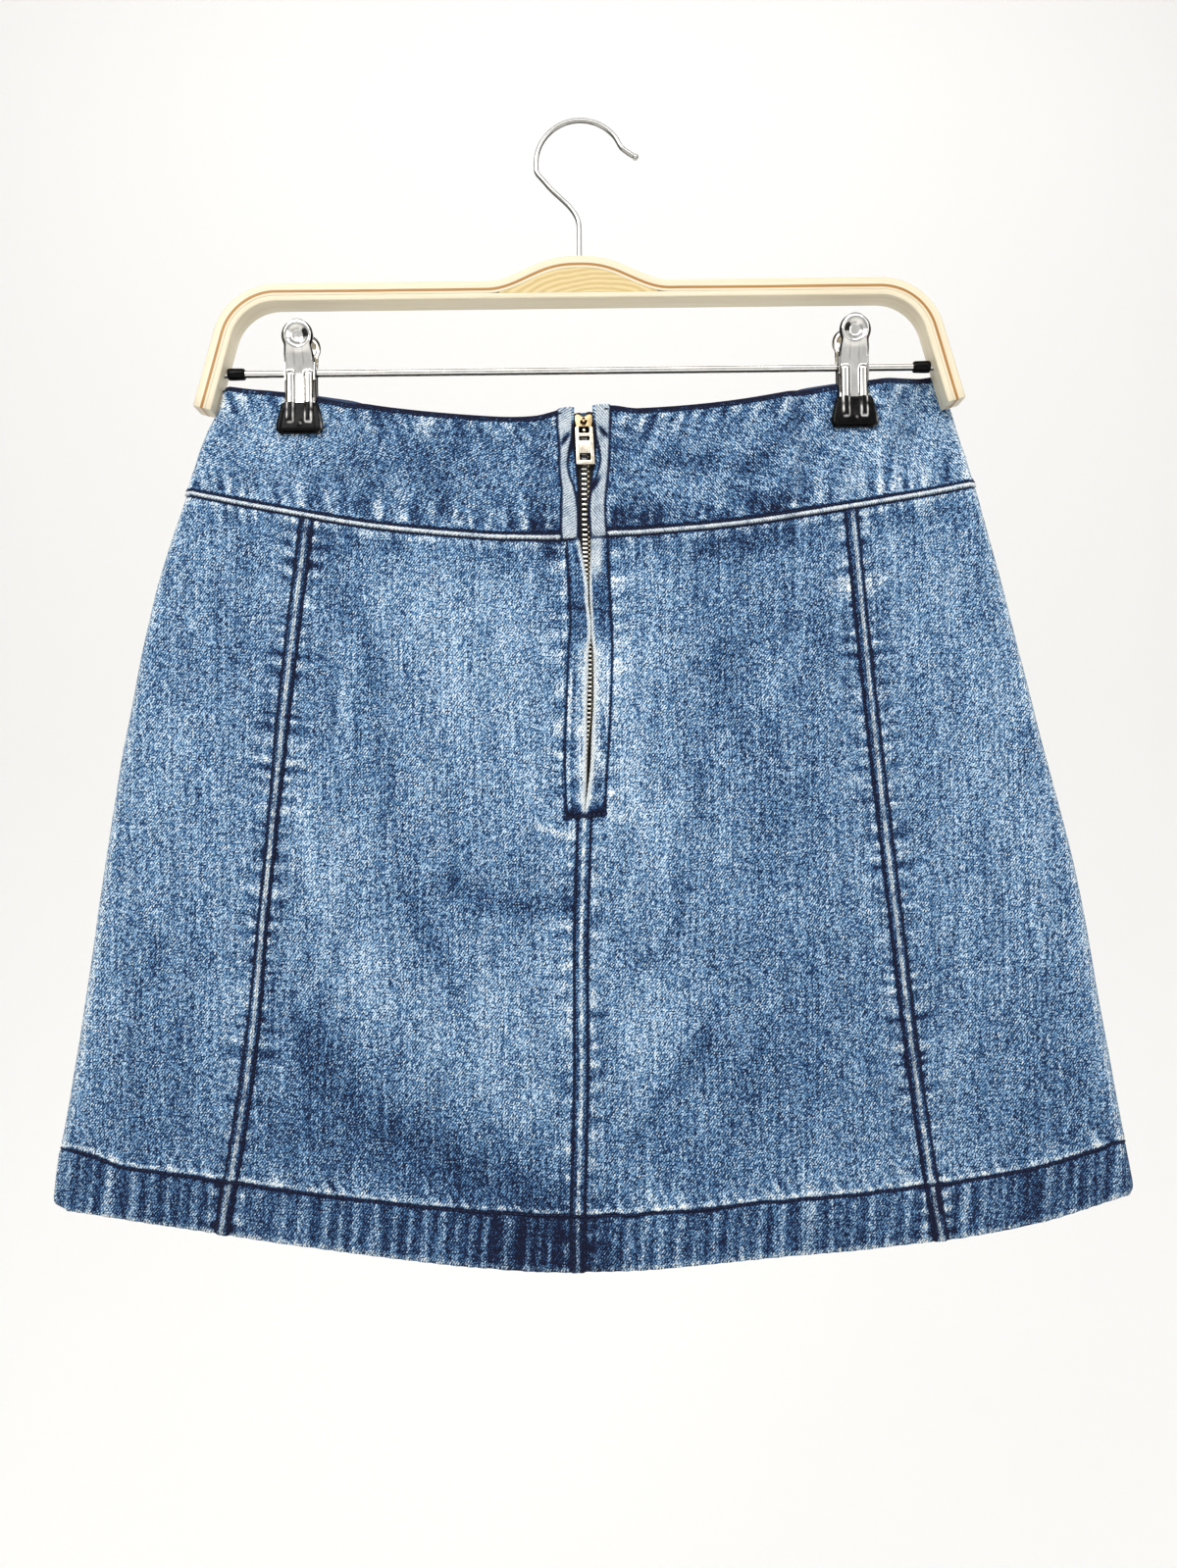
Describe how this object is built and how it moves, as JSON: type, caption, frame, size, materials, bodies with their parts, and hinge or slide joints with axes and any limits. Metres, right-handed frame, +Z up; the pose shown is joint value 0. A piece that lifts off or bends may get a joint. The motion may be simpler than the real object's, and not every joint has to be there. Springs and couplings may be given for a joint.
{
  "type": "denim skirt on a wooden clip hanger",
  "caption": "Washed denim mini skirt with a shaped waistband and centre-back zip, clipped by its waistband to a bent wood hanger with a wire hook.",
  "frame": {"origin": "underside of the hook wire at its top, where it bears on a rail or peg", "axes": "+Z up, +X to the right of somebody who faces the skirt's zipped back, -Y towards that person"},
  "size_m": [0.5178, 0.0339, 0.5605],
  "materials": {
    "denim": "washed mid-blue twill, matte",
    "zip_tape": "dark navy woven tape",
    "zip_metal": "antique brass teeth",
    "pull_metal": "pale gold plate, polished",
    "pale_wood": "pale ply, clear satin lacquer",
    "gold_wood": "golden solid wood, clear satin lacquer",
    "chrome": "bright chrome plate",
    "black_vinyl": "glossy black dipped vinyl"
  },
  "bodies": {
    "root": {"waistband_back_left": "denim", "waistband_back_right": "denim", "waistband_front": "denim", "back_centre_left": "denim", "back_centre_right": "denim", "back_side_left": "denim", "back_side_right": "denim", "front_panel": "denim", "zip_tape_left": "zip_tape", "zip_tape_right": "zip_tape", "zip_chain": "zip_metal", "zip_slider": "pull_metal", "hanger_outer_ply": "pale_wood", "hanger_inner_ply": "pale_wood", "hanger_infill": "gold_wood", "hanger_hook": "chrome", "hanger_bar": "chrome", "bar_cap_left": "black_vinyl", "bar_cap_right": "black_vinyl", "clip_left_front_plate": "chrome", "clip_left_front_tip": "black_vinyl", "clip_left_back_plate": "chrome", "clip_left_back_tip": "black_vinyl", "clip_left_spring": "chrome", "clip_right_front_plate": "chrome", "clip_right_front_tip": "black_vinyl", "clip_right_back_plate": "chrome", "clip_right_back_tip": "black_vinyl", "clip_right_spring": "chrome"},
    "pull_tab": {"zip_pull": "pull_metal"}
  },
  "joints": [
    {"name": "pull_tab_swing", "type": "hinge", "parent": "root", "child": "pull_tab", "pos_m": [0.0004, -0.00965, -0.154], "axis": [-1, 0, 0], "range_deg": [0, 165]}
  ]
}
